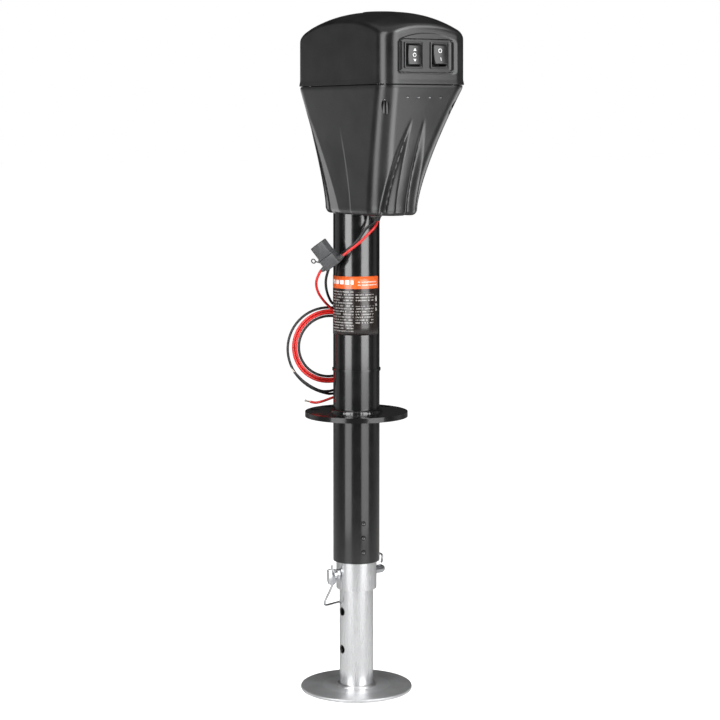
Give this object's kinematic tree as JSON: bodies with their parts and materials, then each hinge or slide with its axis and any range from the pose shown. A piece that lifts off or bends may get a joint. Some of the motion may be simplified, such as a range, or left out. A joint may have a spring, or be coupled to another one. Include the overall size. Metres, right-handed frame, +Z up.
{
  "type": "electric trailer tongue jack",
  "caption": "Powered A-frame trailer tongue jack: motor head on a steel tube, screw-driven inner tube, pinned drop leg and round foot.",
  "frame": {"origin": "centre of the foot plate's underside, on the tube axis", "axes": "+Z up the tube axis, switches face -Y, pull pin along X with its head at -X"},
  "size_m": [0.136, 0.2261, 0.8272],
  "materials": {
    "black_steel": "semi-gloss powder coat",
    "label": "printed film",
    "head_plastic": "fine satin moulding",
    "panel_plastic": "matt moulding",
    "rocker_plastic": "polished moulding",
    "board": "circuit board",
    "lens": "clear lens",
    "bright_screw": "bright plated",
    "casting": "die cast",
    "dark_screw": "oxide",
    "motor_can": "drawn steel can",
    "machined": "machined steel",
    "bronze": "bronze nut",
    "zinc": "bright zinc plate",
    "red_pvc": "soft insulation",
    "black_pvc": "soft insulation",
    "holder_plastic": "grey moulding",
    "fuse_plastic": "tinted moulding"
  },
  "bodies": {
    "post": {"outer_tube": "black_steel", "mount_flange": "black_steel", "flange_weld": "black_steel", "snap_ring": "black_steel", "tube_label": "label", "lower_housing": "head_plastic", "upper_cover": "head_plastic", "switch_panel": "panel_plastic", "switch_bodies": "panel_plastic", "led_board": "board", "led_lenses": "lens", "housing_screws": "bright_screw", "gear_case": "casting", "gear_case_lid": "casting", "case_screws": "dark_screw", "gear_motor": "motor_can", "thrust_bearing": "machined", "cable_gland": "panel_plastic", "red_lead": "red_pvc", "black_lead": "black_pvc", "fuse_body": "holder_plastic", "blade_fuse": "fuse_plastic"},
    "screw": {"lead_screw": "machined", "main_gear": "machined"},
    "pinion": {"motor_pinion": "machined"},
    "ram": {"inner_tube": "zinc", "ram_nut": "bronze"},
    "leg": {"drop_leg": "zinc", "foot_plate": "zinc", "foot_weld": "zinc"},
    "pin": {"pull_pin": "zinc"},
    "bail": {"pin_bail": "zinc"},
    "jack_switch": {"jack_rocker": "rocker_plastic"},
    "light_switch": {"light_rocker": "rocker_plastic"},
    "cap": {"override_cap": "panel_plastic"},
    "fuse_lid": {"fuse_cap": "holder_plastic"}
  },
  "joints": [
    {"name": "screw_spin", "type": "hinge", "parent": "post", "child": "screw", "pos_m": [0, 0, 0.693], "axis": [0, 0, 1], "range_deg": [0, 25561]},
    {"name": "ram_slide", "type": "slide", "parent": "post", "child": "ram", "axis": [0, 0, -1], "range_m": [0, 0.355]},
    {"name": "pinion_spin", "type": "hinge", "parent": "post", "child": "pinion", "pos_m": [0, -0.057, 0.693], "axis": [0, 0, 1], "range_deg": [-39193, 0]},
    {"name": "leg_slide", "type": "slide", "parent": "ram", "child": "leg", "axis": [0, 0, 1], "range_m": [-0.184, 0.092]},
    {"name": "pin_pull", "type": "slide", "parent": "ram", "child": "pin", "axis": [-1, 0, 0], "range_m": [0, 0.072]},
    {"name": "bail_swing", "type": "hinge", "parent": "pin", "child": "bail", "pos_m": [-0.035, 0, 0.1415], "axis": [0, 0, 1], "range_deg": [0, 137]},
    {"name": "jack_switch_tilt", "type": "hinge", "parent": "post", "child": "jack_switch", "pos_m": [-0.018, -0.15, 0.771], "axis": [1, 0, 0], "range_deg": [-9, 9], "stiffness_Nm_per_rad": 0.02},
    {"name": "light_switch_tilt", "type": "hinge", "parent": "post", "child": "light_switch", "pos_m": [0.018, -0.15, 0.771], "axis": [1, 0, 0], "range_deg": [0, 18]},
    {"name": "cap_lift", "type": "slide", "parent": "post", "child": "cap", "axis": [0, 0, 1], "range_m": [0, 0.03]},
    {"name": "fuse_lid_slide", "type": "slide", "parent": "post", "child": "fuse_lid", "axis": [-0.5104, 0.3189, 0.7986], "range_m": [0, 0.025]}
  ],
  "couplings": [
    {"joint": "screw_spin", "follows": "ram_slide", "rad_per_m": 1256.6},
    {"joint": "pinion_spin", "follows": "ram_slide", "rad_per_m": -1926.8},
    {"joint": "bail_swing", "follows": "pin_pull", "rad_per_m": 33.161}
  ]
}
